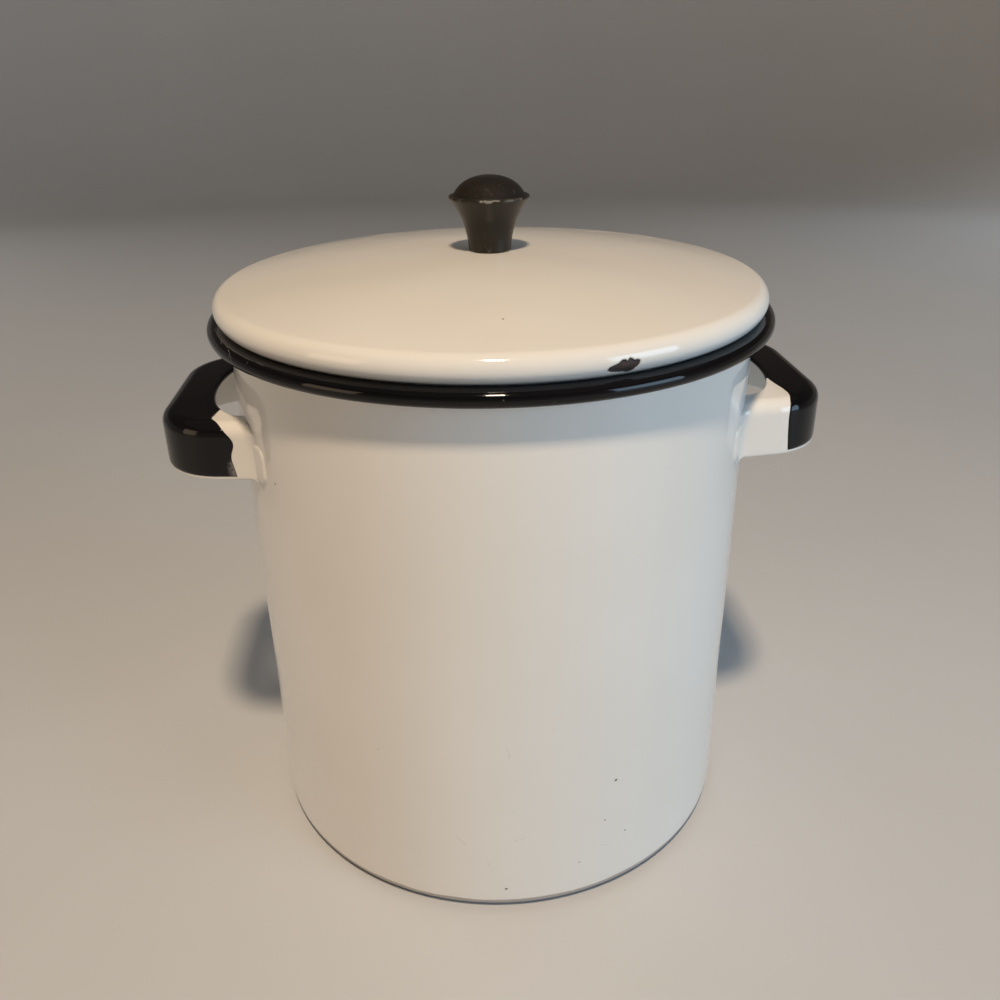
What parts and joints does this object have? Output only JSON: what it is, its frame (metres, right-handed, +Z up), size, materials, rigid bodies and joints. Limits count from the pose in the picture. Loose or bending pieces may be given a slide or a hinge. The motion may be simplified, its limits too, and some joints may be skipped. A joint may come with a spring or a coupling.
{
  "type": "enamelware stock pot with lid",
  "caption": "Tall round white enamelled steel stock pot with a black rolled rim, pressed strap handles with black grips, and a loose domed lid with a flared dark knob.",
  "frame": {"origin": "centre of the underside of the pot's floor", "axes": "+Z up along the pot's axis, +X towards the right handle, +Y away from the picture's viewer"},
  "size_m": [0.3066, 0.2608, 0.321],
  "materials": {
    "white_enamel": "gloss",
    "black_enamel": "gloss",
    "knob_wood": "worn satin paint",
    "steel": "satin"
  },
  "bodies": {
    "pot": {"pot_shell": "white_enamel", "rim_enamel": "black_enamel", "right_handle": "white_enamel", "left_handle": "white_enamel", "right_grip_enamel": "black_enamel", "left_grip_enamel": "black_enamel"},
    "lid": {"lid_shell": "white_enamel", "lid_ring": "white_enamel", "knob": "knob_wood", "knob_screw": "steel", "knob_washer": "steel"}
  },
  "joints": [
    {"name": "lid_lift", "type": "slide", "parent": "pot", "child": "lid", "axis": [0, 0, 1], "range_m": [0, 0.12]}
  ]
}
